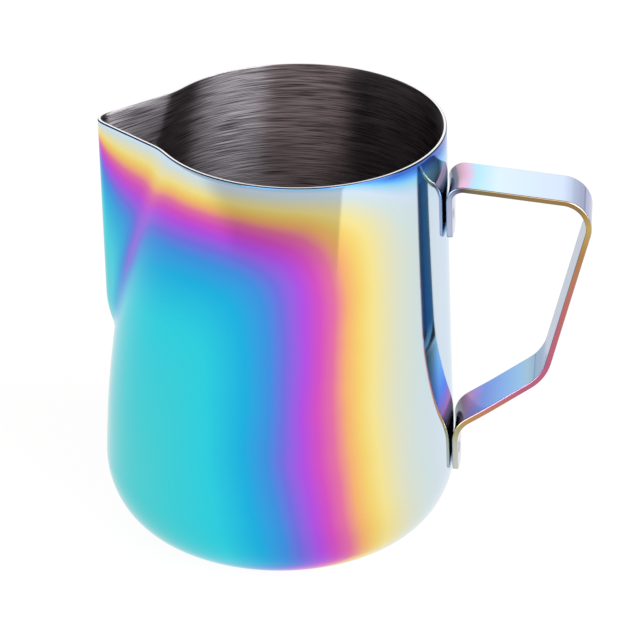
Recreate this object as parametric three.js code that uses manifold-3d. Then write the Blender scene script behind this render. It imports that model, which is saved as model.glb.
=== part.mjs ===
// Milk frothing pitcher, 600 ml: a deep-drawn stainless steel cup with a pressed pouring spout,
// and a flat steel strap bent into a handle and spot welded to the wall.
// Millimetres, +Z up. The origin is on the cup's axis in the plane it rests on; the handle is on +X,
// the spout on -X, and Y is across.
import * as THREE from 'three';
import { mergeVertices } from 'three/addons/utils/BufferGeometryUtils.js';
import Module from 'manifold-3d';

const wasm = await Module();
wasm.setup();

// ---- driving dimensions --------------------------------------------------------------------------
const CUP = {
  height: 110,
  beltRadius: 45,
  cornerWidth: 15.5,
  cornerHeight: 18.4,
  rimRadius: 37.1,
  wallTaper: 1.37,
  sheet: 0.8,
  lean: 4.7,
  leanStart: 32.5,
  leanPower: 1.5,
};

const SPOUT = {
  keelAtRim: 45.6,
  keelSlope: 0.024,
  rootTop: 62,
  rootCurve: 0.02,
  flankAtRim: THREE.MathUtils.degToRad(41.5),
  flankPerMm: THREE.MathUtils.degToRad(0.39),
  noseAngle: 0.075,
  fillet: 1.0,
  filletShare: 0.35,
};

const STRAP = {
  width: 15,
  thickness: 1.45,
  gapToWall: 0.3,
  tabRadius: 60,
  tabCorner: 1.2,
  topTabEnd: 82.9,
  topBend: 96.9,
  gripTop: { x: 79.6, z: 92.8 },
  gripBottom: { x: 67.6, z: 44.4 },
  bottomBend: 28.7,
  bottomTabEnd: 16.5,
  bendRadii: [3.4, 7.3, 11.8, 7.0],
};

const WELD = {
  radius: 1.75,
  clearance: 0.25,
  dish: 0.15,
  sideways: 4.6,
  topHeight: 88.6,
  bottomHeight: 22.0,
};

// Mesh fineness: steps along each stretch of the outlines and around the cup.
const STEPS = { around: 88, crowding: 0.42, corner: 7, wall: 14, rim: 4, bend: 3, across: 6, weld: 20 };

// ---- materials -----------------------------------------------------------------------------------
function steel(color, roughness) {
  return new THREE.MeshStandardMaterial({ color, roughness, metalness: 1 });
}

const COATED_CUP = steel('#4fb4dc', 0.12);
const COATED_STRAP = steel('#bcd3ee', 0.15);
const WELDED_SPOT = steel('#9c9488', 0.4);

// ---- the cup -------------------------------------------------------------------------------------
const { smoothstep } = THREE.MathUtils;

// Outer radius of the drawn wall at a height, before the spout is pressed.
function wallRadius(z) {
  if (z < CUP.cornerHeight) {
    const rise = 1 - z / CUP.cornerHeight;
    return CUP.beltRadius - CUP.cornerWidth * (1 - Math.sqrt(Math.max(0, 1 - rise * rise)));
  }
  const up = (z - CUP.cornerHeight) / (CUP.height - CUP.cornerHeight);
  return CUP.beltRadius - (CUP.beltRadius - CUP.rimRadius) * up ** CUP.wallTaper;
}

// The wall's circle moves towards the handle as it rises, so the handle side stands almost upright.
function wallCentre(z) {
  const up = Math.max(0, (z - CUP.leanStart) / (CUP.height - CUP.leanStart));
  return CUP.lean * up ** CUP.leanPower;
}

// How far the pressed spout stands out from the wall, at an angle from the spout's middle. Its level
// section is a blunt wedge: a rounded keel, two straight flanks and a small fillet at each crease.
function spoutBulge(angle, z) {
  const radius = wallRadius(z);
  const dive = SPOUT.rootCurve * Math.max(0, SPOUT.rootTop - z) ** 2;
  const keel = SPOUT.keelAtRim - SPOUT.keelSlope * (CUP.height - z) - dive + wallCentre(z);
  if (keel < radius || z < CUP.cornerHeight) {
    return 0;
  }
  const flank = SPOUT.flankAtRim + SPOUT.flankPerMm * (CUP.height - z);
  const rounded = (angle ** 2 + SPOUT.noseAngle ** 2) / (2 * SPOUT.noseAngle);
  const turned = angle < SPOUT.noseAngle ? rounded : angle;
  if (flank + turned > Math.PI / 2) {
    return 0;
  }
  const wedge = keel * Math.sin(flank + SPOUT.noseAngle / 2) / Math.sin(flank + turned);
  const fillet = Math.min(SPOUT.fillet, SPOUT.filletShare * (keel - radius));
  const blend = Math.max(0, fillet - Math.abs(wedge - radius)) / fillet;
  return Math.max(wedge, radius) + blend * blend * fillet / 4 - radius;
}

// Half section of the sheet: out along the base, up the outside, over the cut rim and down the inside.
function cupSection() {
  const outside = [];
  for (let i = 0; i <= STEPS.corner; i += 1) {
    const turn = (i / STEPS.corner) * Math.PI / 2;
    const z = CUP.cornerHeight * (1 - Math.cos(turn));
    outside.push(new THREE.Vector2(wallRadius(z), z));
  }
  for (let i = 1; i <= STEPS.wall; i += 1) {
    const z = THREE.MathUtils.lerp(CUP.cornerHeight, CUP.height - CUP.sheet / 2, i / STEPS.wall);
    outside.push(new THREE.Vector2(wallRadius(z), z));
  }
  const inside = outside.map((point, i) => {
    const before = outside[Math.max(0, i - 1)];
    const after = outside[Math.min(outside.length - 1, i + 1)];
    const along = i === 0 ? new THREE.Vector2(1, 0) : after.clone().sub(before).normalize();
    return new THREE.Vector2(point.x - along.y * CUP.sheet, point.y + along.x * CUP.sheet);
  });
  const rim = [];
  for (let i = 1; i < STEPS.rim; i += 1) {
    const turn = (i / STEPS.rim) * Math.PI;
    const top = outside[outside.length - 1];
    const half = CUP.sheet / 2;
    rim.push(new THREE.Vector2(top.x - half + half * Math.cos(turn), top.y + half * Math.sin(turn)));
  }
  return [
    new THREE.Vector2(0, 0),
    ...outside,
    ...rim,
    ...inside.reverse(),
    new THREE.Vector2(0, CUP.sheet),
  ];
}

// The lathe's even steps are crowded towards the spout, then the wall leans and the spout is pressed out.
function pressSpout(geometry) {
  const position = geometry.attributes.position;
  for (let i = 0; i < position.count; i += 1) {
    const [x, y, z] = [position.getX(i), position.getY(i), position.getZ(i)];
    const share = Math.atan2(y, -x) / Math.PI;
    const angle = Math.PI * ((1 - STEPS.crowding) * share + STEPS.crowding * share ** 3);
    const radius = Math.hypot(x, y) + spoutBulge(Math.abs(angle), z);
    position.setXYZ(i, wallCentre(z) - radius * Math.cos(angle), radius * Math.sin(angle), z);
  }
  return geometry;
}

function makeCup() {
  const geometry = new THREE.LatheGeometry(cupSection(), STEPS.around, Math.PI / 2);
  geometry.rotateX(Math.PI / 2);
  const cup = new THREE.Mesh(pressSpout(geometry), COATED_CUP);
  cup.name = 'pitcher_body';
  return cup;
}

// ---- the handle strap ----------------------------------------------------------------------------
// X of the middle of the strap where a tab lies along the wall.
function tabMiddle(z) {
  return wallCentre(z) + wallRadius(z) + STRAP.gapToWall + STRAP.thickness / 2;
}

// Middle line of the strap in the XZ plane, from the end of the top tab to the end of the bottom tab.
function strapLine() {
  const corners = [
    new THREE.Vector2(tabMiddle(STRAP.topTabEnd), STRAP.topTabEnd),
    new THREE.Vector2(tabMiddle(STRAP.topBend), STRAP.topBend),
    new THREE.Vector2(STRAP.gripTop.x, STRAP.gripTop.z),
    new THREE.Vector2(STRAP.gripBottom.x, STRAP.gripBottom.z),
    new THREE.Vector2(tabMiddle(STRAP.bottomBend), STRAP.bottomBend),
    new THREE.Vector2(tabMiddle(CUP.cornerHeight), STRAP.bottomTabEnd),
  ];
  const line = [corners[0]];
  for (let i = 1; i < corners.length - 1; i += 1) {
    line.push(...bendPoints(corners[i - 1], corners[i], corners[i + 1], STRAP.bendRadii[i - 1]));
  }
  line.push(corners[corners.length - 1]);
  return line;
}

// Points of the arc that rounds one corner of the strap's middle line.
function bendPoints(before, corner, after, radius) {
  const back = before.clone().sub(corner).normalize();
  const on = after.clone().sub(corner).normalize();
  const halfAngle = Math.acos(back.dot(on)) / 2;
  const centre = corner.clone().addScaledVector(back.clone().add(on).normalize(), radius / Math.sin(halfAngle));
  const start = corner.clone().addScaledVector(back, radius / Math.tan(halfAngle)).sub(centre);
  const sweep = Math.PI - 2 * halfAngle;
  const sense = Math.sign(on.cross(back));
  const count = Math.max(STEPS.bend, Math.ceil(sweep / (Math.PI / 12)));
  const points = [];
  for (let i = 0; i <= count; i += 1) {
    const arm = start.clone().rotateAround(new THREE.Vector2(), sense * sweep * i / count);
    points.push(centre.clone().add(arm));
  }
  return points;
}

// The strap's side outline: its middle line thickened by half the sheet on each side.
function strapShape() {
  const line = strapLine();
  const half = STRAP.thickness / 2;
  const left = [];
  const right = [];
  line.forEach((point, i) => {
    const before = line[Math.max(0, i - 1)];
    const after = line[Math.min(line.length - 1, i + 1)];
    const along = after.clone().sub(before).normalize();
    left.push(new THREE.Vector2(point.x - along.y * half, point.y + along.x * half));
    right.unshift(new THREE.Vector2(point.x + along.y * half, point.y - along.x * half));
  });
  return new THREE.Shape([...left, ...right]);
}

// How far a tab's surface falls back towards the cup at a distance from the strap's middle.
function tabSag(y) {
  return STRAP.tabRadius - Math.sqrt(STRAP.tabRadius ** 2 - y * y);
}

// The tabs are curved to follow the wall, fading out along the bends, and their corners are clipped.
function curveTabs(geometry) {
  const position = geometry.attributes.position;
  const nearWall = CUP.beltRadius + 1;
  const pastBend = nearWall + 9;
  for (let i = 0; i < position.count; i += 1) {
    const [x, y, z] = [position.getX(i), position.getY(i), position.getZ(i)];
    const hug = 1 - smoothstep(x, nearWall, pastBend);
    const atSide = Math.abs(y) > STRAP.width / 2 - 0.1;
    const atEnd = Math.abs(z - STRAP.topTabEnd) < 0.1 || Math.abs(z - STRAP.bottomTabEnd) < 0.1;
    position.setXYZ(i, x - hug * tabSag(y), y, z + (atSide && atEnd ? STRAP.tabCorner : 0));
  }
  return geometry;
}

// A manifold solid of a geometry, with its shared corners merged.
function solidOf(geometry) {
  const bare = geometry.clone();
  bare.deleteAttribute('normal');
  bare.deleteAttribute('uv');
  const merged = mergeVertices(bare, 1e-4);
  return new wasm.Manifold(new wasm.Mesh({
    numProp: 3,
    vertProperties: new Float32Array(merged.attributes.position.array),
    triVerts: new Uint32Array(merged.index.array),
  }));
}

function geometryOf(solid) {
  const mesh = solid.getMesh();
  const geometry = new THREE.BufferGeometry();
  geometry.setAttribute('position', new THREE.BufferAttribute(mesh.vertProperties, 3));
  geometry.setIndex(new THREE.BufferAttribute(mesh.triVerts, 1));
  geometry.computeVertexNormals();
  return geometry;
}

function makeStrap() {
  const options = { depth: STRAP.width, steps: STEPS.across, bevelEnabled: false };
  const geometry = new THREE.ExtrudeGeometry(strapShape(), options);
  geometry.rotateX(Math.PI / 2);
  geometry.translate(0, STRAP.width / 2, 0);
  let solid = solidOf(curveTabs(geometry));
  for (const spot of weldSpots()) {
    const cutter = weldCylinder(WELD.radius + WELD.clearance, STRAP.thickness * 2);
    solid = solid.subtract(solidOf(cutter.applyMatrix4(spot.matrix)));
  }
  const strap = new THREE.Mesh(geometryOf(solid), COATED_STRAP);
  strap.name = 'handle_strap';
  return strap;
}

// ---- the spot welds ------------------------------------------------------------------------------
// A cylinder whose axis lies along X, for a weld and for the pocket it fills.
function weldCylinder(radius, length) {
  const geometry = new THREE.CylinderGeometry(radius, radius, length, STEPS.weld);
  return geometry.rotateZ(Math.PI / 2);
}

// Two welds side by side through each tab, square to the tab's curved face.
function weldSpots() {
  const spots = [];
  const heights = { top: WELD.topHeight, bottom: WELD.bottomHeight };
  for (const [level, z] of Object.entries(heights)) {
    for (const [side, y] of Object.entries({ left: WELD.sideways, right: -WELD.sideways })) {
      const place = new THREE.Object3D();
      place.position.set(tabMiddle(z) - tabSag(y), y, z);
      place.rotation.z = Math.asin(y / STRAP.tabRadius);
      place.updateMatrix();
      spots.push({ name: `spot_weld_${level}_${side}`, matrix: place.matrix });
    }
  }
  return spots;
}

// A weld fills the strap's thickness and ends in a shallow dish on the outside.
function makeWeld(spot) {
  const half = STRAP.thickness / 2;
  const profile = [
    new THREE.Vector2(0, -half),
    new THREE.Vector2(WELD.radius, -half),
    new THREE.Vector2(WELD.radius, half - WELD.dish / 3),
    new THREE.Vector2(WELD.radius * 0.6, half - WELD.dish * 0.8),
    new THREE.Vector2(0, half - WELD.dish),
  ];
  const geometry = new THREE.LatheGeometry(profile, STEPS.weld);
  geometry.rotateZ(-Math.PI / 2);
  const weld = new THREE.Mesh(geometry.applyMatrix4(spot.matrix), WELDED_SPOT);
  weld.name = spot.name;
  return weld;
}

const pitcher = new THREE.Group();
pitcher.add(makeCup(), makeStrap(), ...weldSpots().map(makeWeld));

export default pitcher;
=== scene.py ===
# %% [markdown]
# # A milk frothing pitcher
#
# The real one is two pieces of stainless steel. The cup is deep drawn from one disc of sheet, cut to a
# plain rim, and its spout is pressed out afterwards. The handle is a flat strap, bent four times, whose
# two tabs are spot welded to the wall. The outside is polished and carries an interference film in
# rainbow colours; the inside is bare brushed steel.
#
# The CAD frame gives every place and size.

# %% Load the frame
import math

import bmesh
import bpy
from mathutils import Matrix, Vector


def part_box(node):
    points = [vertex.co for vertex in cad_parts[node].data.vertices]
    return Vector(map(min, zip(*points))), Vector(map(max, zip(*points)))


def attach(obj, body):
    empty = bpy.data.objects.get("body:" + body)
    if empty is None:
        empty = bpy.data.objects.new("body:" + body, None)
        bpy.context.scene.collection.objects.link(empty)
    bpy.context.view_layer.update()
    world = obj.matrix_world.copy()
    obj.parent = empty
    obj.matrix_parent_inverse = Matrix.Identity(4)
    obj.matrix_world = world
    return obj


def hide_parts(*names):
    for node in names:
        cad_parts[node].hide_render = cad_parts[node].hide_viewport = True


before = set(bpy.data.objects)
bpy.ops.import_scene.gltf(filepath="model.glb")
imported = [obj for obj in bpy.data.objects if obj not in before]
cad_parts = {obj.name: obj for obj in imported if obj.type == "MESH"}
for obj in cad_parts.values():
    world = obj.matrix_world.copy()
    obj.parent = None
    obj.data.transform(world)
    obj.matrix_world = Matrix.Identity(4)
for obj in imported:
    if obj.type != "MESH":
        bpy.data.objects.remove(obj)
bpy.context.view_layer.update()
MM = 0.001

# %% [markdown]
# ## Sizes taken from the frame
#
# The cup and the strap fill the boxes of their CAD nodes. The few numbers that a box can't give, such as
# how the wall tapers, are the design's own and are written here once, in millimetres.

# %% Cup and spout sizes
cup_low, cup_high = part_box("pitcher_body")
HEIGHT = cup_high.z / MM
BELT_RADIUS = cup_high.y / MM
CORNER_WIDTH = 15.5
CORNER_HEIGHT = 18.4
RIM_RADIUS = 37.1
WALL_TAPER = 1.37
SHEET = 0.8
LEAN = 4.7
LEAN_START = 32.5
LEAN_POWER = 1.5

KEEL_AT_RIM = -cup_low.x / MM
KEEL_SLOPE = 0.024
ROOT_TOP = 62
ROOT_CURVE = 0.02
FLANK_AT_RIM = math.radians(41.5)
FLANK_PER_MM = math.radians(0.39)
NOSE_ANGLE = 0.075
FILLET = 1.0
FILLET_SHARE = 0.35
print(f"cup {HEIGHT:.1f} mm tall, {2 * BELT_RADIUS:.1f} mm across, keel {KEEL_AT_RIM:.1f} mm out")


# %% [markdown]
# ## The shape of the wall
#
# A drawn cup is round at every height, so its outside is one radius per height. The circle's centre moves
# towards the handle as it rises, because pressing the spout pulls the front wall in. The spout's level
# section is a blunt wedge, and where the wedge stands outside the circle, it is the wall.

# %% Radius, centre and spout at a height
def wall_radius(z):
    if z < CORNER_HEIGHT:
        rise = 1 - z / CORNER_HEIGHT
        return BELT_RADIUS - CORNER_WIDTH * (1 - math.sqrt(max(0, 1 - rise * rise)))
    up = (z - CORNER_HEIGHT) / (HEIGHT - CORNER_HEIGHT)
    return BELT_RADIUS - (BELT_RADIUS - RIM_RADIUS) * up ** WALL_TAPER


def wall_centre(z):
    return LEAN * max(0, (z - LEAN_START) / (HEIGHT - LEAN_START)) ** LEAN_POWER


def spout_bulge(angle, z):
    radius = wall_radius(z)
    dive = ROOT_CURVE * max(0, ROOT_TOP - z) ** 2
    keel = KEEL_AT_RIM - KEEL_SLOPE * (HEIGHT - z) - dive + wall_centre(z)
    if keel < radius or z < CORNER_HEIGHT:
        return 0
    flank = FLANK_AT_RIM + FLANK_PER_MM * (HEIGHT - z)
    turned = (angle**2 + NOSE_ANGLE**2) / (2 * NOSE_ANGLE) if angle < NOSE_ANGLE else angle
    if flank + turned > math.pi / 2:
        return 0
    wedge = keel * math.sin(flank + NOSE_ANGLE / 2) / math.sin(flank + turned)
    fillet = min(FILLET, FILLET_SHARE * (keel - radius))
    blend = max(0, fillet - abs(wedge - radius)) / fillet
    return max(wedge, radius) + blend * blend * fillet / 4 - radius


print(f"rim radius {wall_radius(HEIGHT):.1f} mm, spout {spout_bulge(0, HEIGHT):.1f} mm past it")

# %% [markdown]
# ## Two soft curves
#
# Pressed sheet and grown films change gradually, so they are described with a bell and a soft step.

# %% Bell and soft step
def bell(x, width):
    return math.exp(-((x / width) ** 2))


def smooth_step(low, high, x):
    t = min(1, max(0, (x - low) / (high - low)))
    return t * t * (3 - 2 * t)


print("soft step halfway:", smooth_step(0, 1, 0.5), "bell one width off:", round(bell(1, 1), 2))

# %% [markdown]
# ## The film's thickness
#
# The rainbow is not paint. It is a clear film well under a micrometre thick, and its thickness decides
# which colours it sends back. It comes out thinnest beside the handle and along the rim, and thickest on
# the belly below the spout. Each vertex keeps a number for it, so the colours follow the pressed wall. The
# number starts with how the film thickens on the way down from the rim.

# %% Film below the rim
KEEL_SQUEEZE = 0.45
KEEL_WIDTH = 8
NOSE_SQUEEZE = 0.8
NOSE_WIDTH = 3
RIM_THINNING = 156
RIM_FADE_DEPTH = 49
RIM_FADE_POWER = 0.6
RIM_FADE_END = 40


def depth_in_film(side, z):
    """Depth below the rim, stretched at the keel of the spout, where the bands are narrower."""
    squeeze = 1 + KEEL_SQUEEZE * bell(side, KEEL_WIDTH) + NOSE_SQUEEZE * bell(side, NOSE_WIDTH)
    return (HEIGHT - z) * squeeze


def thinner_by_rim(depth):
    fade = math.exp(-((depth / RIM_FADE_DEPTH) ** RIM_FADE_POWER))
    return max(0, RIM_THINNING * fade - RIM_FADE_END)


print("thinning 10 and 40 mm below the rim:", round(thinner_by_rim(10)), round(thinner_by_rim(40)))

# %% [markdown]
# ### Round the side
#
# The angle round the cup is counted in degrees from the spout. The film begins to thin a little way round,
# later near the foot, and it thins more slowly close to the handle.

# %% Film round the side
FILM_START = 45
LOW_TOP = 53
LOW_SPAN = 41
LOW_DELAY = 7
LOW_POWER = 1.7
SLOW_AFTER = 92
SLOWING = 0.42


def thinner_by_side(side, z):
    low = max(0, (LOW_TOP - z) / LOW_SPAN)
    past = max(0, side - FILM_START - LOW_DELAY * low**LOW_POWER)
    return past - SLOWING * max(0, past - SLOW_AFTER)


print("thinning at the side and at the handle:", thinner_by_side(90, 60), thinner_by_side(180, 60))

# %% [markdown]
# ### Crease, rim and foot
#
# Three small changes lie on top of that. A violet streak along the crease beside the spout is a painted
# highlight. The last millimetres below the rim turn blue, most of all near the handle.
# The last millimetres above the floor are shifted towards pink and lilac, a painted sheen along the bottom
# edge.

# %% Film at the crease, the rim and the foot
CREASE_VIOLET = 20
CREASE_WIDTH = 6
CREASE_HEIGHT = 60
CREASE_AT_HEIGHT = 10
CREASE_PER_MM = 0.5
CREASE_BOTTOM = (45, 60)
CREASE_TOP = (74, 94)
CREASE_TOP_FADE = 0.8
BLUE_BY_HANDLE = 42
BLUE_BY_HANDLE_DEPTH = 4
BLUE_BY_HANDLE_SIDES = (112, 140)
BLUE_IN_FRONT = 16
BLUE_IN_FRONT_DEPTH = 2
BLUE_IN_FRONT_SIDES = (40, 75)
FOOT_SHEEN = 20
FOOT_HEIGHT = 7


# Painted highlight: a violet streak along the crease beside the spout, made by raising the film value
# there.
def painted_crease_highlight(side, z):
    crease = CREASE_AT_HEIGHT + (z - CREASE_HEIGHT) * CREASE_PER_MM
    strength = smooth_step(*CREASE_BOTTOM, z) * (1 - CREASE_TOP_FADE * smooth_step(*CREASE_TOP, z))
    return CREASE_VIOLET * bell(side - crease, CREASE_WIDTH) * strength


def thinner_at_rim(side, depth):
    handle = math.exp(-depth / BLUE_BY_HANDLE_DEPTH) * smooth_step(*BLUE_BY_HANDLE_SIDES, side)
    front = math.exp(-depth / BLUE_IN_FRONT_DEPTH) * smooth_step(*BLUE_IN_FRONT_SIDES, side)
    return BLUE_BY_HANDLE * handle + BLUE_IN_FRONT * front


# Painted sheen: the film value is raised over the last millimetres above the floor, towards pink and lilac.
def painted_foot_sheen(z):
    return FOOT_SHEEN * max(0, 1 - z / FOOT_HEIGHT)


print("thinning at the crease:", round(painted_crease_highlight(CREASE_AT_HEIGHT, CREASE_HEIGHT), 1))

# %% [markdown]
# ### The whole film
#
# The thinning from the rim and from the side meet in a rounded corner, so they are joined by a power well
# above two, which turns the corner more sharply than a circle. The sum is scaled to the range of colours.

# %% Film on the cup, from 0 where it is thickest to 1 where it is thinnest
CORNER_POWER = 4.2
FILM_OFFSET = 10
FILM_FULL = 165
FILM_AT_HANDLE = 0.96


def cup_film(angle, z):
    side = math.degrees(abs(angle))
    depth = depth_in_film(side, z)
    both = thinner_by_rim(depth) ** CORNER_POWER + thinner_by_side(side, z) ** CORNER_POWER
    thin = both ** (1 / CORNER_POWER)
    # The crease term is a painted highlight, and the foot term is a painted sheen along the bottom edge.
    thin += painted_crease_highlight(side, z) + thinner_at_rim(side, depth) + painted_foot_sheen(z)
    return min(FILM_AT_HANDLE, (thin + FILM_OFFSET) / FILM_FULL)


print("film on the belly and at its side:", round(cup_film(0.8, 50), 2), round(cup_film(1.6, 50), 2))

# %% [markdown]
# ## Modelling helpers
#
# Every new piece is a bmesh that becomes an object at the origin. Its place is in its mesh, as a CAD
# node's is. Shading is smooth everywhere, because every edge is a real round with faces of its own.

# %% Mesh helpers
def make_object(name, bm, materials):
    mesh = bpy.data.meshes.new(name)
    bm.to_mesh(mesh)
    bm.free()
    piece = bpy.data.objects.new(name, mesh)
    bpy.context.scene.collection.objects.link(piece)
    for material in materials:
        mesh.materials.append(material)
    mesh.polygons.foreach_set("use_smooth", [True] * len(mesh.polygons))
    print(f"{name}: {len(mesh.polygons)} faces")
    return piece


# %% [markdown]
# ## Colours and materials
#
# One function turns a hex colour into linear light, and one adds a node with its settings and links.

# %% Material helpers
def linear(hex_colour):
    parts = [int(hex_colour[i : i + 2], 16) / 255 for i in (1, 3, 5)]
    return [p / 12.92 if p <= 0.04045 else ((p + 0.055) / 1.055) ** 2.4 for p in parts] + [1]


def add_node(tree, kind, links=None, **settings):
    node = tree.nodes.new(kind)
    for name, value in settings.items():
        if hasattr(node, name):
            setattr(node, name, value)
        else:
            node.inputs[name.replace("_", " ")].default_value = value
    for name, source in (links or {}).items():
        tree.links.new(source, node.inputs[name])
    return node


def new_material(name):
    material = bpy.data.materials.new(name)
    material.use_nodes = True
    tree = material.node_tree
    tree.nodes.clear()
    output = tree.nodes.new("ShaderNodeOutputMaterial")
    return material, tree, output


# A Mix node has an A and a B for each type of data, so its two colours are found by number.
COLOUR_A, COLOUR_B = 6, 7

print("middle grey in linear light:", round(linear("#808080")[0], 3))

# %% [markdown]
# ### Rainbow interference film on mirror-polished stainless steel
#
# The steel under the film is polished on a buffing wheel, so it is a mirror with a faint haze. The film
# colours what it reflects, so in a metal shader the ramp is the base colour. As the film gets thinner it
# passes through turquoise, sky blue, violet, magenta, rose, gold, cream, pale blue and deep blue. The last
# stop, navy, is reached only on the rim's coated round, where it is a painted dark reflection.

# %% Rainbow film on the cup
FILM_COLOURS = {
    0.00: "#50d0d0",
    0.20: "#30d0e0",
    0.28: "#20b0e0",
    0.33: "#4090e0",
    0.36: "#7070e0",
    0.40: "#b050e0",
    0.43: "#d050c0",
    0.46: "#e070a0",
    0.49: "#f0b070",
    0.52: "#f0d070",
    0.55: "#f0e090",
    0.60: "#e0e0c0",
    0.65: "#d0e0e0",
    0.71: "#d0e0f0",
    0.82: "#90d0f0",
    0.88: "#60b0ff",
    0.96: "#4070d0",
    # Navy is reached only on the rim's coated round, as a painted dark reflection.
    1.00: "#203050",
}


def ramp(tree, stops, place):
    """A colour ramp from a list of places and colours, the first of which reuses the ramp's own stop."""
    node = add_node(tree, "ShaderNodeValToRGB", {"Fac": place})
    elements = node.color_ramp.elements
    elements.remove(elements[-1])
    elements[0].position, elements[0].color = stops[0]
    for position, colour in stops[1:]:
        elements.new(position).color = colour
    return node.outputs["Color"]


def colour_ramp(tree, colours, place):
    return ramp(tree, [(position, linear(colour)) for position, colour in colours.items()], place)


CLOUDS_PER_METRE = 45.0
CUP_DRIFT = 0.012


def drifting(tree, attribute, amount):
    """A vertex attribute with a slow drift, because no film is quite even."""
    value = add_node(tree, "ShaderNodeAttribute", attribute_name=attribute)
    place = add_node(tree, "ShaderNodeTexCoord")
    cloud = add_node(
        tree, "ShaderNodeTexNoise", {"Vector": place.outputs["Object"]}, Scale=CLOUDS_PER_METRE, Detail=2.0
    )
    drift = add_node(tree, "ShaderNodeMapRange", {"Value": cloud.outputs["Fac"]})
    drift.inputs["To Min"].default_value = -amount
    drift.inputs["To Max"].default_value = amount
    total = add_node(
        tree, "ShaderNodeMath", {0: value.outputs["Fac"], 1: drift.outputs[0]}, operation="ADD"
    )
    return total.outputs[0]


def cup_film_material():
    material, tree, output = new_material("rainbow_film_on_polished_steel")
    colour = colour_ramp(tree, FILM_COLOURS, drifting(tree, "film", CUP_DRIFT))
    shader = add_node(
        tree, "ShaderNodeBsdfPrincipled", {"Base Color": colour}, Metallic=1.0, Roughness=0.08
    )
    tree.links.new(shader.outputs[0], output.inputs[0])
    return material


rainbow_cup = cup_film_material()
print(rainbow_cup.name, "with", len(FILM_COLOURS), "colours")

# %% [markdown]
# ### The film and painted light on the strap
#
# The film on the strap is another thickness on each of its sides, and its colours along the strap also
# carry painted light. Its back is the side that lies on the cup at the tabs, so it is also the top of the
# upper arm. It is pale, with a painted near-white highlight on the upper arm and painted slate shade at the
# outer bend. Its front is deep blue wherever it looks back at the cup, a painted reflection of the cup. Its
# edges run from gold to rose, with a painted yellow highlight at the bend above the grip.

# %% Rainbow film and painted light on the strap
# The back's near-white stops from 0.18 to 0.30 are a painted highlight, and its slate stops at 0.35 and
# 0.40 are painted shade at the outer bend.
STRAP_BACK = {
    0.0: "#c6cbe0",
    0.075: "#c3c6dc",
    0.09: "#7d7276",
    0.106: "#9c8090",
    0.12: "#dcb0d0",
    0.138: "#a9dcf2",
    0.18: "#d2e6f8",
    0.30: "#ccdaf2",
    0.35: "#9aa2cc",
    0.40: "#8f92c6",
    0.45: "#b4acd8",
    0.55: "#a9c4ee",
    0.68: "#8fb8f0",
    0.80: "#b09ad8",
    0.90: "#c8a8c0",
    0.95: "#c9cbd8",
    1.0: "#d2d0da",
}
# The front's dark blues from 0.11 to 0.68 are a painted reflection of the cup.
STRAP_FRONT = {
    0.0: "#c6cbe0",
    0.075: "#b4bcd8",
    0.11: "#4a5478",
    0.16: "#2f5078",
    0.36: "#4a7396",
    0.68: "#3a70ac",
    0.745: "#8fb4cc",
    0.765: "#7fb2dc",
    0.80: "#6ea0de",
    0.845: "#5b80d2",
    0.865: "#8070c0",
    0.885: "#a06a98",
    0.905: "#7c6460",
    0.93: "#5a504c",
    0.95: "#b8b4bc",
    1.0: "#cfcbd4",
}
STRAP_DRIFT = 0.01
# The edge's yellow stop at 0.38 is a painted highlight at the bend above the grip.
STRAP_EDGE = {
    0.0: "#b4bdd4",
    0.085: "#a4b0cc",
    0.115: "#50505a",
    0.14: "#7c7050",
    0.26: "#947a50",
    0.34: "#94784c",
    0.38: "#c0a460",
    0.44: "#b08250",
    0.50: "#b87a60",
    0.58: "#bc6c6c",
    0.68: "#bc647c",
    0.76: "#b8647c",
    0.82: "#c07868",
    0.87: "#b88c5c",
    0.91: "#a8a070",
    0.94: "#b8bcac",
    1.0: "#c4c6c0",
}


def strap_film_and_light_material():
    material, tree, output = new_material("rainbow_film_and_painted_light_on_strap")
    along = drifting(tree, "along", STRAP_DRIFT)
    front = add_node(tree, "ShaderNodeAttribute", attribute_name="front")
    edge = add_node(tree, "ShaderNodeAttribute", attribute_name="edge")
    face = add_node(tree, "ShaderNodeMix", {"Factor": front.outputs["Fac"]}, data_type="RGBA")
    tree.links.new(colour_ramp(tree, STRAP_BACK, along), face.inputs[COLOUR_A])
    tree.links.new(colour_ramp(tree, STRAP_FRONT, along), face.inputs[COLOUR_B])
    colour = add_node(tree, "ShaderNodeMix", {"Factor": edge.outputs["Fac"]}, data_type="RGBA")
    tree.links.new(face.outputs[2], colour.inputs[COLOUR_A])
    tree.links.new(colour_ramp(tree, STRAP_EDGE, along), colour.inputs[COLOUR_B])
    shader = add_node(
        tree, "ShaderNodeBsdfPrincipled", {"Base Color": colour.outputs[2]}, Metallic=1.0, Roughness=0.1
    )
    tree.links.new(shader.outputs[0], output.inputs[0])
    return material


strap_film_and_painted_light = strap_film_and_light_material()
print(strap_film_and_painted_light.name, "with", len(STRAP_BACK) + len(STRAP_FRONT) + len(STRAP_EDGE), "colours")

# %% [markdown]
# ### Brushed stainless steel inside
#
# The inside is brushed round and round before the outside is coated. Fine scratches that run round the
# cup spread a highlight up and down, so it stands as a bright upright band. The noise changes slowly round
# the cup, and quickly with height on the wall and with distance from the axis on the bottom, which gives
# rings on both. The real scratches are a few hundredths of a millimetre wide; these are drawn 0.2 mm wide
# and about 10 mm long, so that they show.

# %% Coordinates that run in rings
BOTTOM_RADIUS = 29
SCRATCH_WIDTH = 0.2
SCRATCH_LENGTH = 10


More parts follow.
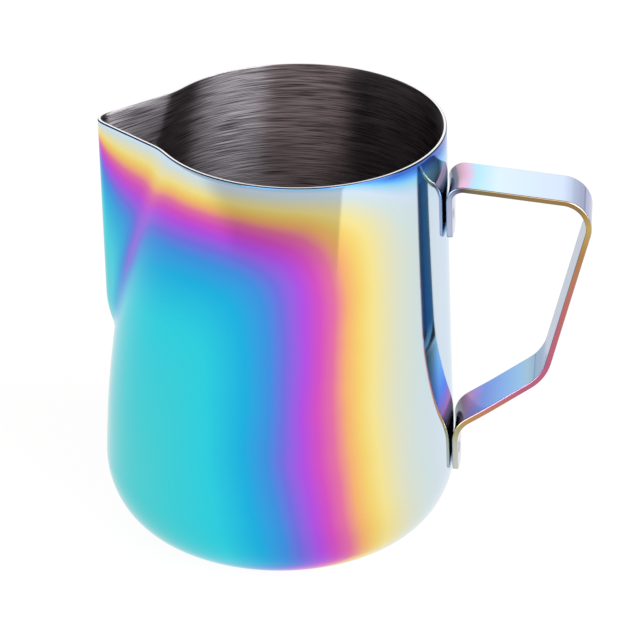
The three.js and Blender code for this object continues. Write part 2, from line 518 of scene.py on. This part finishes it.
def ring_coordinates(tree):
    place = add_node(tree, "ShaderNodeTexCoord")
    parts = add_node(tree, "ShaderNodeSeparateXYZ", {0: place.outputs["Object"]})
    level = add_node(tree, "ShaderNodeVectorMath", {0: place.outputs["Object"]}, operation="MULTIPLY")
    level.inputs[1].default_value = (1, 1, 0)
    from_axis = add_node(tree, "ShaderNodeVectorMath", {0: level.outputs[0]}, operation="LENGTH")
    on_bottom = add_node(tree, "ShaderNodeMath", {0: from_axis.outputs["Value"]}, operation="MINIMUM")
    on_bottom.inputs[1].default_value = BOTTOM_RADIUS * MM
    path = add_node(
        tree, "ShaderNodeMath", {0: parts.outputs["Z"], 1: on_bottom.outputs[0]}, operation="ADD"
    )
    rings = add_node(
        tree,
        "ShaderNodeCombineXYZ",
        {"X": parts.outputs["X"], "Y": parts.outputs["Y"], "Z": path.outputs[0]},
    )
    stretch = add_node(tree, "ShaderNodeMapping", {"Vector": rings.outputs[0]})
    per_length = 1 / (SCRATCH_LENGTH * MM)
    stretch.inputs["Scale"].default_value = (per_length, per_length, 1 / (SCRATCH_WIDTH * MM))
    return stretch.outputs[0]


print(f"scratches {SCRATCH_WIDTH} mm wide and {SCRATCH_LENGTH} mm long")

# %% [markdown]
# ### The brushed metal itself
#
# The same noise drives the height, the roughness and the tone, because a scratch is all three at once. The
# highlight is stretched across the scratches, so the tangent runs round the cup.

# %% Brushed inside
SCRATCH_DEPTH = 0.09
NOISE_ROUGH = (0.3, 0.7)
ROUGHNESS = (0.27, 0.33)
NOISE_TONE = (0.36, 0.64)


def set_range(node, low_to_high, side):
    node.inputs[f"{side} Min"].default_value, node.inputs[f"{side} Max"].default_value = low_to_high


def brushed_material():
    material, tree, output = new_material("brushed_stainless_steel")
    scratch = add_node(
        tree, "ShaderNodeTexNoise", {"Vector": ring_coordinates(tree)}, Scale=1.0, Detail=1.5, Roughness=0.6
    )
    tone = add_node(tree, "ShaderNodeMapRange", {"Value": scratch.outputs["Fac"]})
    set_range(tone, NOISE_ROUGH, "From")
    set_range(tone, ROUGHNESS, "To")
    shine = add_node(tree, "ShaderNodeMapRange", {"Value": scratch.outputs["Fac"]})
    set_range(shine, NOISE_TONE, "From")
    colour = add_node(tree, "ShaderNodeMix", {"Factor": shine.outputs[0]}, data_type="RGBA")
    colour.inputs[COLOUR_A].default_value = linear("#565156")
    colour.inputs[COLOUR_B].default_value = linear("#a8a3a8")
    bump = add_node(
        tree,
        "ShaderNodeBump",
        {"Height": scratch.outputs["Fac"]},
        Strength=1.0,
        Distance=SCRATCH_DEPTH * MM,
    )
    round_cup = add_node(tree, "ShaderNodeTangent", direction_type="RADIAL", axis="Z")
    shader = add_node(
        tree,
        "ShaderNodeBsdfPrincipled",
        {
            "Base Color": colour.outputs[2],
            "Roughness": tone.outputs[0],
            "Normal": bump.outputs[0],
            "Tangent": round_cup.outputs[0],
        },
        Metallic=1.0,
        Anisotropic=1.0,
        Anisotropic_Rotation=0.25,
    )
    tree.links.new(shader.outputs[0], output.inputs[0])
    return material


brushed_inside = brushed_material()
print(brushed_inside.name)

# %% [markdown]
# ### Ground stainless steel at the rim
#
# The top of the rim is ground flat after coating, so it is a thin bright line of bare steel. Fine grit
# leaves short scratches in every direction, which look like a faint even haze. Only the roughness varies,
# in grains a third of a millimetre wide, much coarser than the real ones, so that they show.

# %% Ground rim
GRAINS_PER_MM = 3
RIM_ROUGHNESS = (0.15, 0.3)


def ground_material():
    material, tree, output = new_material("ground_steel_edge")
    place = add_node(tree, "ShaderNodeTexCoord")
    grain = add_node(
        tree,
        "ShaderNodeTexNoise",
        {"Vector": place.outputs["Object"]},
        Scale=GRAINS_PER_MM / MM,
        Detail=2.0,
    )
    tone = add_node(tree, "ShaderNodeMapRange", {"Value": grain.outputs["Fac"]})
    set_range(tone, RIM_ROUGHNESS, "To")
    shader = add_node(
        tree,
        "ShaderNodeBsdfPrincipled",
        {"Roughness": tone.outputs[0]},
        Metallic=1.0,
        Base_Color=linear("#e8e6e6"),
    )
    tree.links.new(shader.outputs[0], output.inputs[0])
    return material


ground_rim = ground_material()
print(ground_rim.name)

# %% [markdown]
# ## The cup
#
# A drawn cup could be lofted from rings, but spinning its half outline about the axis is closer to how it
# is made, and gives one clean skin with a closed pole. The outline is a flat foot, a round corner and the
# tapering wall.

# %% Half outline of the cup
FOOT_RING = 14
CORNER_STEPS = 24
WALL_STEPS = 84


def cup_outline():
    points = [(0, 0), (FOOT_RING, 0)]
    for i in range(CORNER_STEPS + 1):
        z = CORNER_HEIGHT * (1 - math.cos(i / CORNER_STEPS * math.pi / 2))
        points.append((wall_radius(z), z))
    for i in range(1, WALL_STEPS + 1):
        z = CORNER_HEIGHT + (HEIGHT - CORNER_HEIGHT) * i / WALL_STEPS
        points.append((wall_radius(z), z))
    return points


print("points in the half outline:", len(cup_outline()))

# %% [markdown]
# ### Pressing the spout
#
# The press pushes the round wall out into a wedge. Here each vertex slides out along its own radius to
# where the pressed wall is. The vertices first crowd towards the spout, where the shape changes fastest,
# so that the crease stays crisp. Each one also learns how thick the film is where it ends up.

# %% Press the spout
CROWDING = 0.42


def press_cup(bm):
    film = bm.verts.layers.float.new("film")
    for vert in bm.verts:
        x, y, z = vert.co / MM
        share = math.atan2(y, -x) / math.pi
        angle = math.pi * ((1 - CROWDING) * share + CROWDING * share**3)
        radius = math.hypot(x, y) + spout_bulge(abs(angle), z)
        centre = wall_centre(z)
        vert.co = Vector((centre - radius * math.cos(angle), radius * math.sin(angle), z)) * MM
        vert[film] = cup_film(angle, z)


print(f"at the spout the vertices stand {1 - CROWDING:.2f} times as far apart as they did when spun")

# %% [markdown]
# ### Three finishes on one sheet
#
# The cup is coated outside, brushed inside and ground along the top. A face's finish follows from where it
# is and which way it looks. The outer edge of the rim is rounded more than the inner one, and its round is
# coated like the wall.

# %% Finish of each face
COATED, BRUSHED, RIM = range(3)
RIM_DEPTH = 0.6
RIM_LEVEL = 0.8
OUTSIDE_LEVEL = 0.7
AXIS_LOW = 22
AXIS_HIGH = 90


def cup_face_kind(face):
    centre = face.calc_center_median()
    z = centre.z / MM
    if z > HEIGHT - RIM_DEPTH and face.normal.z > RIM_LEVEL:
        return RIM
    height = min(max(z, AXIS_LOW), AXIS_HIGH)
    outwards = centre - Vector((wall_centre(height), 0, height)) * MM
    return COATED if face.normal.dot(outwards) > 0 else BRUSHED


def is_outer_rim(edge):
    """An edge of the rim is the outer one if the coated wall hangs from it."""
    centre = Vector((wall_centre(HEIGHT), 0, HEIGHT)) * MM
    middle = (edge.verts[0].co + edge.verts[1].co) / 2
    walls = [face for face in edge.link_faces if face.normal.z < OUTSIDE_LEVEL]
    return any(face.normal.dot(middle - centre) > 0 for face in walls)


print("finishes:", rainbow_cup.name, brushed_inside.name, ground_rim.name)

# %% [markdown]
# ### Spin, press, thicken and round
#
# The skin is spun, pressed, and only then thickened, so that the inside follows the outside as it does in
# real sheet. The two edges of the cut rim are bevelled last. The coated round at the top of the rim is
# given the film's darkest value, a fine dark blue line of painted dark reflection.

# %% Make the cup
AROUND = 256
RIM_OUTER_ROUND = 0.42
RIM_INNER_ROUND = 0.16
RIM_LINE = 0.8
SHARP_ANGLE = 1.0
SHARP_DEPTH = 1


def make_cup():
    bm = bmesh.new()
    line = [bm.verts.new((r * MM, 0, z * MM)) for r, z in cup_outline()]
    edges = [bm.edges.new(pair) for pair in zip(line, line[1:])]
    bmesh.ops.spin(
        bm,
        geom=line + edges,
        cent=(0, 0, 0),
        axis=(0, 0, 1),
        dvec=(0, 0, 0),
        angle=2 * math.pi,
        steps=AROUND,
        use_merge=True,
        use_duplicate=False,
    )
    bmesh.ops.remove_doubles(bm, verts=bm.verts, dist=1e-6)
    bmesh.ops.recalc_face_normals(bm, faces=bm.faces)
    press_cup(bm)
    bm.normal_update()
    bmesh.ops.solidify(bm, geom=bm.faces[:], thickness=SHEET * MM)
    bm.normal_update()
    near_rim = [e for e in bm.edges if e.verts[0].co.z > (HEIGHT - SHARP_DEPTH) * MM]
    sharp = [e for e in near_rim if e.calc_face_angle(0) > SHARP_ANGLE]
    outer = [e for e in sharp if is_outer_rim(e)]
    inner = [e for e in sharp if e not in outer]
    for edges, offset in ((outer, RIM_OUTER_ROUND), (inner, RIM_INNER_ROUND)):
        bmesh.ops.bevel(
            bm,
            geom=edges,
            offset=offset * MM,
            segments=5,
            profile=0.5,
            affect="EDGES",
            material=-1,
            clamp_overlap=True,
        )
    bm.normal_update()
    # Painted dark reflection: the coated round at the top of the rim is set to the film's darkest value, a
    # fine navy line.
    film = bm.verts.layers.float["film"]
    for vert in bm.verts:
        if vert.co.z > (HEIGHT - RIM_LINE * RIM_OUTER_ROUND) * MM:
            vert[film] = 1
    for face in bm.faces:
        face.material_index = cup_face_kind(face)
    kinds = [sum(f.material_index == kind for f in bm.faces) for kind in range(3)]
    print("cup faces coated, brushed, rim:", kinds, "rim edges bevelled:", len(outer), len(inner))
    return make_object("cup", bm, [rainbow_cup, brushed_inside, ground_rim])


cup = make_cup()
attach(cup, "root")
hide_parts("pitcher_body")

# %% [markdown]
# ## The handle strap
#
# The strap is flat bar, bent four times: out from the upper tab, down at the top of the grip, back in at
# its foot, and down again into the lower tab. Its line is the six corners that the bends replace. The tabs
# stand a hair off the wall and lean as it leans.

# %% Strap sizes and corners
strap_low, strap_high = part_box("handle_strap")
STRAP_WIDTH = (strap_high.y - strap_low.y) / MM
STRAP_THICK = 1.45
WALL_GAP = 0.3
TAB_RADIUS = 60
TOP_TAB_END = 82.9
TOP_BEND = 96.9
GRIP_TOP = Vector((79.6, 92.8))
GRIP_BOTTOM = Vector((67.6, 44.4))
BOTTOM_BEND = 28.7
BOTTOM_TAB_END = strap_low.z / MM
BEND_RADII = (3.4, 7.3, 11.8, 7.0)


def tab_middle(z):
    return wall_centre(z) + wall_radius(z) + WALL_GAP + STRAP_THICK / 2


def strap_corners():
    return [
        Vector((tab_middle(TOP_TAB_END), TOP_TAB_END)),
        Vector((tab_middle(TOP_BEND), TOP_BEND)),
        GRIP_TOP,
        GRIP_BOTTOM,
        Vector((tab_middle(BOTTOM_BEND), BOTTOM_BEND)),
        Vector((tab_middle(CORNER_HEIGHT), BOTTOM_TAB_END)),
    ]


print(f"strap {STRAP_WIDTH:.1f} mm wide, bent to radii of {BEND_RADII} mm")

# %% [markdown]
# ### Growing the strap along its line
#
# A curve with a bevel could follow this line, but it would pinch at tight bends. Extruding the strap's end
# again and again, straight on or turned about the centre of a bend, is bending flat bar by hand: the
# section never changes. The steps shorten towards each tab's end, where its corners will be rounded.

# %% Steps along the strap
STEP = 0.4
TAB_CORNER = 1.3
TAB_END_STEPS = 12


def tab_end_steps():
    """Steps that get longer away from a tab's end, so that its rounded corners come out smooth."""
    turns = [i / TAB_END_STEPS * math.pi / 2 for i in range(TAB_END_STEPS + 1)]
    places = [TAB_CORNER * (1 - math.cos(turn)) for turn in turns]
    return [after - before for before, after in zip(places, places[1:])]


def strap_moves():
    """Every short step of the strap: how far and which way it goes, or the centre and angle it turns by."""
    corners = strap_corners()
    here = corners[0]
    for i in range(1, len(corners)):
        corner = corners[i]
        along = (corner - here).normalized()
        length = (corner - here).length
        last = i == len(corners) - 1
        if not last:
            turn = along.angle_signed((corners[i + 1] - corner).normalized())
            radius = BEND_RADII[i - 1]
            length -= radius * math.tan(abs(turn) / 2)
        plain = length - (TAB_CORNER if i == 1 or last else 0)
        steps = [plain / round(plain / STEP)] * round(plain / STEP)
        if i == 1:
            steps = tab_end_steps() + steps
        if last:
            steps = steps + tab_end_steps()[::-1]
        for step in steps:
            yield along * step, None, 0
        here = here + along * length
        if not last:
            side = Vector((along.y, -along.x)) * math.copysign(1, turn)
            count = max(8, round(abs(turn) * radius / STEP))
            for _ in range(count):
                yield None, here + side * radius, turn / count
            here = corner + (corners[i + 1] - corner).normalized() * radius * math.tan(abs(turn) / 2)


print("steps along the strap:", sum(1 for _ in strap_moves()))


# %% [markdown]
# ### Straight steps and turning steps
#
# The end loop of edges is extruded, and the new loop is either moved or turned about the bend's centre.
# Each new vertex notes how far along the strap it is. A bend's steps are close to one step long.

# %% Extrude the end at every step
def grow_strap(bm, ring, along):
    travelled = 0
    for step, centre, turn in strap_moves():
        made = bmesh.ops.extrude_edge_only(bm, edges=ring)["geom"]
        verts = [v for v in made if isinstance(v, bmesh.types.BMVert)]
        ring = [e for e in made if isinstance(e, bmesh.types.BMEdge)]
        ring = [e for e in ring if e.verts[0] in verts and e.verts[1] in verts]
        if step:
            bmesh.ops.translate(bm, verts=verts, vec=(step.x * MM, 0, step.y * MM))
            travelled += step.length
        else:
            pivot = Vector((centre.x, 0, centre.y)) * MM
            bmesh.ops.rotate(bm, verts=verts, cent=pivot, matrix=Matrix.Rotation(turn, 3, "Y"))
            travelled += STEP
        for vert in verts:
            vert[along] = travelled
    return ring, travelled


print("each step is close to", STEP, "mm")

# %% [markdown]
# ### Tabs that hug the cup
#
# A flat tab would touch a round wall along one line only, so each tab is rolled to the wall's own curve.
# Its end has rounded corners and soft edges. The welding tip leaves a shallow round dimple with a slight
# raised ring wherever it has squeezed the strap onto the cup.

# %% Roll the tabs and press the dimples
EDGE_ROUND = 0.3
WELD_SIDE = 4.6
WELD_HEIGHTS = {"top": 88.6, "bottom": 22.0}
WELD_RADIUS = 1.9
WELD_DEPTH = 0.16
DIMPLE_FLAT = 0.7
RING_PLACE = 1.15
RING_HEIGHT = 0.35
RING_WIDTH = 0.4
TAB_ZONE = 4
HUG_FULL = 1
HUG_GONE = 10


def tab_sag(y):
    return TAB_RADIUS - math.sqrt(TAB_RADIUS**2 - y * y)


def rounded_by(distance, radius):
    """How far a round of this radius has cut in, at this distance from the end."""
    left = radius - min(max(distance, 0), radius)
    return radius - math.sqrt(radius**2 - left**2)


def on_line(z, lower, upper):
    return lower.x + (upper.x - lower.x) * (z - lower.y) / (upper.y - lower.y)


def shape_tabs(bm):
    corners = strap_corners()
    for vert in bm.verts:
        x, y, z = vert.co / MM
        if x < BELT_RADIUS + TAB_ZONE:
            top = z > HEIGHT / 2
            end = z - (TOP_TAB_END if top else BOTTOM_TAB_END)
            middle = on_line(z, *(corners[:2] if top else (corners[5], corners[4])))
            y *= 1 - rounded_by(end, TAB_CORNER) / (STRAP_WIDTH / 2)
            x = middle + (x - middle) * (1 - rounded_by(end, EDGE_ROUND) / (STRAP_THICK / 2))
            weld = WELD_HEIGHTS["top" if top else "bottom"]
            away = math.hypot(abs(y) - WELD_SIDE, z - weld)
            if x > middle:
                x -= WELD_DEPTH * (1 - smooth_step(WELD_RADIUS * DIMPLE_FLAT, WELD_RADIUS, away))
                x += WELD_DEPTH * RING_HEIGHT * bell(away - WELD_RADIUS * RING_PLACE, RING_WIDTH)
        hug = 1 - smooth_step(BELT_RADIUS + HUG_FULL, BELT_RADIUS + HUG_GONE, x)
        vert.co = Vector((x - hug * tab_sag(y), y, z)) * MM


print(f"the tabs' sides curve back by {tab_sag(STRAP_WIDTH / 2):.2f} mm")

# %% [markdown]
# ### The finished strap
#
# The strap starts as a small rectangle with rounded corners. Its vertices carry three numbers through
# every extrusion, so that the film's colours know where they are: how far along the strap, which of its
# two sides, and whether on its rounded edge.

# %% Make the strap
ACROSS_CUTS = 28


def make_strap():
    bm = bmesh.new()
    along = bm.verts.layers.float.new("along")
    front = bm.verts.layers.float.new("front")
    edge = bm.verts.layers.float.new("edge")
    start = strap_corners()[0]
    bmesh.ops.create_grid(bm, x_segments=1, y_segments=1, size=0.5)
    bmesh.ops.scale(bm, verts=bm.verts, vec=(STRAP_THICK * MM, STRAP_WIDTH * MM, 1))
    bmesh.ops.bevel(
        bm,
        geom=bm.verts[:],
        offset=EDGE_ROUND * MM,
        segments=4,
        profile=0.5,
        affect="VERTICES",
        material=-1,
    )
    long_edges = [e for e in bm.edges if e.calc_length() > 2 * MM]
    bmesh.ops.subdivide_edges(bm, edges=long_edges, cuts=ACROSS_CUTS, use_grid_fill=False)
    for vert in bm.verts:
        vert[front] = 0.5 + vert.co.x / (STRAP_THICK * MM)
        vert[edge] = smooth_step(STRAP_WIDTH / 2 - EDGE_ROUND, STRAP_WIDTH / 2, abs(vert.co.y) / MM)
    bmesh.ops.translate(bm, verts=bm.verts, vec=(start.x * MM, 0, start.y * MM))
    ring = [e for e in bm.edges if len(e.link_faces) == 1]
    ring, length = grow_strap(bm, ring, along)
    bmesh.ops.contextual_create(bm, geom=ring)
    bmesh.ops.recalc_face_normals(bm, faces=bm.faces)
    for vert in bm.verts:
        vert[along] /= length
    shape_tabs(bm)
    print(f"strap {length:.1f} mm long")
    return make_object("strap", bm, [strap_film_and_painted_light])


strap = make_strap()
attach(strap, "root")
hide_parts("handle_strap")


# %% [markdown]
# ## The spot welds
#
# A spot weld is a button of steel that melted between strap and cup. All that shows is the tip's mark: a
# dull grey-brown disc, heat tinted, without film. The frame has four weld nodes, two on each tab, and each
# one gets a disc that sits in its dimple. Its grain is drawn two thirds of a millimetre wide, so it shows.

# %% Heat tinted weld steel
WELD_GRAINS_PER_MM = 1.5


def weld_material():
    material, tree, output = new_material("heat_tinted_spot_weld")
    place = add_node(tree, "ShaderNodeTexCoord")
    grain = add_node(
        tree,
        "ShaderNodeTexNoise",
        {"Vector": place.outputs["Object"]},
        Scale=WELD_GRAINS_PER_MM / MM,
        Detail=3.0,
    )
    tone = add_node(tree, "ShaderNodeMix", {"Factor": grain.outputs["Fac"]}, data_type="RGBA")
    tone.inputs[COLOUR_A].default_value = linear("#7d7468")
    tone.inputs[COLOUR_B].default_value = linear("#b8b2ac")
    shader = add_node(
        tree, "ShaderNodeBsdfPrincipled", {"Base Color": tone.outputs[2]}, Metallic=1.0, Roughness=0.38
    )
    tree.links.new(shader.outputs[0], output.inputs[0])
    return material


weld_steel = weld_material()
print(weld_steel.name)


# %% [markdown]
# ### Four weld marks
#
# Each mark is a circle extruded into a thin disc with a rounded crown. It is laid on its side, turned to
# face out of the curved tab, and sunk until it stands just clear of the dimple's floor.

# %% Make the four weld marks
FACE_SHARE = 0.68
FACE_THICK = 0.5
FACE_ROUND = 0.12
FACE_SUNK = 0.46


def make_weld(node, y, z):
    bm = bmesh.new()
    bmesh.ops.create_circle(bm, cap_ends=True, radius=WELD_RADIUS * FACE_SHARE * MM, segments=32)
    made = bmesh.ops.extrude_face_region(bm, geom=bm.faces[:])["geom"]
    top = [v for v in made if isinstance(v, bmesh.types.BMVert)]
    bmesh.ops.translate(bm, verts=top, vec=(0, 0, FACE_THICK * MM))
    bmesh.ops.recalc_face_normals(bm, faces=bm.faces)
    crown = [e for e in bm.edges if all(v in top for v in e.verts)]
    bmesh.ops.bevel(
        bm, geom=crown, offset=FACE_ROUND * MM, segments=3, profile=0.5, affect="EDGES", material=-1
    )
    outside = tab_middle(z) + STRAP_THICK / 2 - tab_sag(y) - WELD_DEPTH
    place = Matrix.Translation(Vector((outside - FACE_SUNK, y, z)) * MM)
    turned = Matrix.Rotation(math.asin(y / TAB_RADIUS), 4, "Z") @ Matrix.Rotation(math.pi / 2, 4, "Y")
    bmesh.ops.transform(bm, verts=bm.verts, matrix=place @ turned)
    weld = make_object(node + "_face", bm, [weld_steel])
    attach(weld, "root")
    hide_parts(node)


for level, height in WELD_HEIGHTS.items():
    for side, y in (("left", WELD_SIDE), ("right", -WELD_SIDE)):
        make_weld(f"spot_weld_{level}_{side}", y, height)

# %% [markdown]
# ## Floor, light and camera
#
# Polished metal shows its surroundings more than its own colour, so the studio is built with care. Both
# the table and the cards round it change with the direction from the pitcher. One helper turns any
# coordinates into such a direction.

# %% Compass directions
def compass(tree, coordinates):
    """0 to 1 from the back round by the spout side, the front and the handle side to the back again."""
    parts = add_node(tree, "ShaderNodeSeparateXYZ", {0: coordinates})
    forward = add_node(tree, "ShaderNodeMath", {0: parts.outputs["Y"]}, operation="MULTIPLY")
    forward.inputs[1].default_value = -1
    angle = add_node(
        tree, "ShaderNodeMath", {0: parts.outputs["X"], 1: forward.outputs[0]}, operation="ARCTAN2"
    )
    turn = add_node(tree, "ShaderNodeMapRange", {"Value": angle.outputs[0]})
    turn.inputs["From Min"].default_value = -math.pi
    turn.inputs["From Max"].default_value = math.pi
    return turn.outputs[0], parts.outputs["Z"]


def level_ramp(tree, levels, place, to_position):
    stops = [(to_position(value), (level, level, level, 1)) for value, level in levels.items()]
    return ramp(tree, stops, place)


def from_degrees(degrees):
    return (degrees + 180) / 360


print("the front is at", from_degrees(0), "and the handle side at", from_degrees(90))

# %% [markdown]
# ### White acrylic light table
#
# The pitcher stands on a white acrylic sheet that is lit from below, which leaves almost no shadow. The
# wall leans back a little, so it mirrors the table: bright where it is near, and greyer past its edge,
# which lies at a different distance in each direction. Degrees go from the front towards the handle side,
# and distances are in metres. The camera itself sees the sheet as an even white.

# %% Light table
TABLE_REACH = {
    -180: 0.95,
    -110: 0.95,
    -70: 0.67,
    -35: 0.48,
    0: 0.405,
    28: 0.345,
    36: 0.315,
    40: 0.9,
    180: 0.95,
}
TABLE_EDGE = (0.88, 1.10)
TABLE_GLOW = (0.88, 0.5)
TABLE_SEEN = 0.95
TABLE_RADIUS = 3.0
TABLE_DROP = 0.0002


def make_floor():
    material, tree, output = new_material("white_acrylic_light_table")
    place = add_node(tree, "ShaderNodeTexCoord")
    turn, _ = compass(tree, place.outputs["Object"])
    reach = level_ramp(tree, TABLE_REACH, turn, from_degrees)
    away = add_node(tree, "ShaderNodeVectorMath", {0: place.outputs["Object"]}, operation="LENGTH")
    share = add_node(tree, "ShaderNodeMath", {0: away.outputs["Value"], 1: reach}, operation="DIVIDE")
    glow = add_node(
        tree, "ShaderNodeMapRange", {"Value": share.outputs[0]}, interpolation_type="SMOOTHSTEP"
    )
    set_range(glow, TABLE_EDGE, "From")
    set_range(glow, TABLE_GLOW, "To")
    seen = add_node(tree, "ShaderNodeLightPath")
    light = add_node(
        tree,
        "ShaderNodeMix",
        {"Factor": seen.outputs["Is Camera Ray"], "A": glow.outputs[0]},
        B=TABLE_SEEN,
    )
    shader = add_node(
        tree,
        "ShaderNodeBsdfPrincipled",
        {"Emission Strength": light.outputs[0]},
        Base_Color=linear("#2a2a2a"),
        Emission_Color=linear("#ffffff"),
        Roughness=0.9,
    )
    tree.links.new(shader.outputs[0], output.inputs[0])
    bm = bmesh.new()
    bmesh.ops.create_circle(bm, cap_ends=True, radius=TABLE_RADIUS, segments=64)
    floor = make_object("floor", bm, [material])
    floor.location.z = -TABLE_DROP


make_floor()


# %% [markdown]
# ### Studio surroundings
#
# The studio is dark, with white cards round it, and the world is painted as those cards: one colour for
# each direction round the compass, fading out towards the floor and overhead. The brushed inside shows
# them as upright bands. Some light also spills along the horizon and across the ceiling. Degrees are as
# on the table, and heights are degrees above the horizon.

# %% Studio cards
CARDS = {
    -180: "#595959",
    -165: "#5f5f5f",
    -150: "#6a6a6a",
    -140: "#0a0a0a",
    -86: "#0a0a0a",
    -80: "#232020",
    -38: "#262323",
    -33: "#a0928d",
    27: "#a4958f",
    31: "#ffffff",
    80: "#ffffff",
    86: "#0a0a0a",
    140: "#0a0a0a",
    152: "#505050",
    180: "#595959",
}
CARD_FADE = {0: 0.3, 8: 0.35, 20: 1, 46: 1, 62: 0.02, 89: 0.02}
STUDIO_GLOW = {0: 0.045, 9: 0.04, 18: 0, 55: 0, 80: 0.025}
CARD_BRIGHTNESS = 12


def from_height(degrees):
    return math.sin(math.radians(degrees))


def make_world():
    world = bpy.data.worlds.new("studio_cards")
    bpy.context.scene.world = world
    world.use_nodes = True
    tree = world.node_tree
    place = add_node(tree, "ShaderNodeTexCoord")
    turn, height = compass(tree, place.outputs["Generated"])
    cards = colour_ramp(tree, {from_degrees(d): tint for d, tint in CARDS.items()}, turn)
    fade = level_ramp(tree, CARD_FADE, height, from_height)
    lit = add_node(tree, "ShaderNodeMix", data_type="RGBA", blend_type="MULTIPLY", Factor=1.0)
    tree.links.new(cards, lit.inputs[COLOUR_A])
    tree.links.new(fade, lit.inputs[COLOUR_B])
    studio = add_node(tree, "ShaderNodeMix", data_type="RGBA", blend_type="ADD", Factor=1.0)
    tree.links.new(lit.outputs[2], studio.inputs[COLOUR_A])
    tree.links.new(level_ramp(tree, STUDIO_GLOW, height, from_height), studio.inputs[COLOUR_B])
    background = tree.nodes["Background"]
    background.inputs["Strength"].default_value = CARD_BRIGHTNESS
    tree.links.new(studio.outputs[2], background.inputs["Color"])
    paper = add_node(tree, "ShaderNodeBackground", Color=linear("#f2f2f2"), Strength=1.0)
    seen = add_node(tree, "ShaderNodeLightPath")
    either = add_node(
        tree,
        "ShaderNodeMixShader",
        {0: seen.outputs["Is Camera Ray"], 1: background.outputs[0], 2: paper.outputs[0]},
    )
    tree.links.new(either.outputs[0], tree.nodes["World Output"].inputs["Surface"])


make_world()
print("the studio has", len(CARDS), "colours round the compass")

# %% [markdown]
# ### Camera
#
# A long lens from a little over a metre away, looking down by about 28 degrees, keeps the cup's sides
# nearly parallel. The standard view transform keeps the film's colours as bright as they are.

# %% Camera
CAMERA_TURN = math.radians(4.15)
CAMERA_TILT = math.radians(27.58)
CAMERA_DISTANCE = 1.1006
CAMERA_LENS = 242.7
CAMERA_SENSOR = 36.0
CAMERA_AIM = Vector((0.01013, 0.0005, 0.0547))

camera_data = bpy.data.cameras.new("camera")
camera_data.sensor_width = CAMERA_SENSOR
camera_data.lens = CAMERA_LENS
camera = bpy.data.objects.new("camera", camera_data)
bpy.context.scene.collection.objects.link(camera)
towards = Vector(
    (
        math.sin(CAMERA_TURN) * math.cos(CAMERA_TILT),
        -math.cos(CAMERA_TURN) * math.cos(CAMERA_TILT),
        math.sin(CAMERA_TILT),
    )
)
camera.location = CAMERA_AIM + towards * CAMERA_DISTANCE
camera.rotation_euler = (-towards).to_track_quat("-Z", "Y").to_euler()
bpy.context.scene.camera = camera
bpy.context.scene.view_settings.view_transform = "Standard"
print(f"lens of {CAMERA_LENS} mm at {CAMERA_DISTANCE} m")
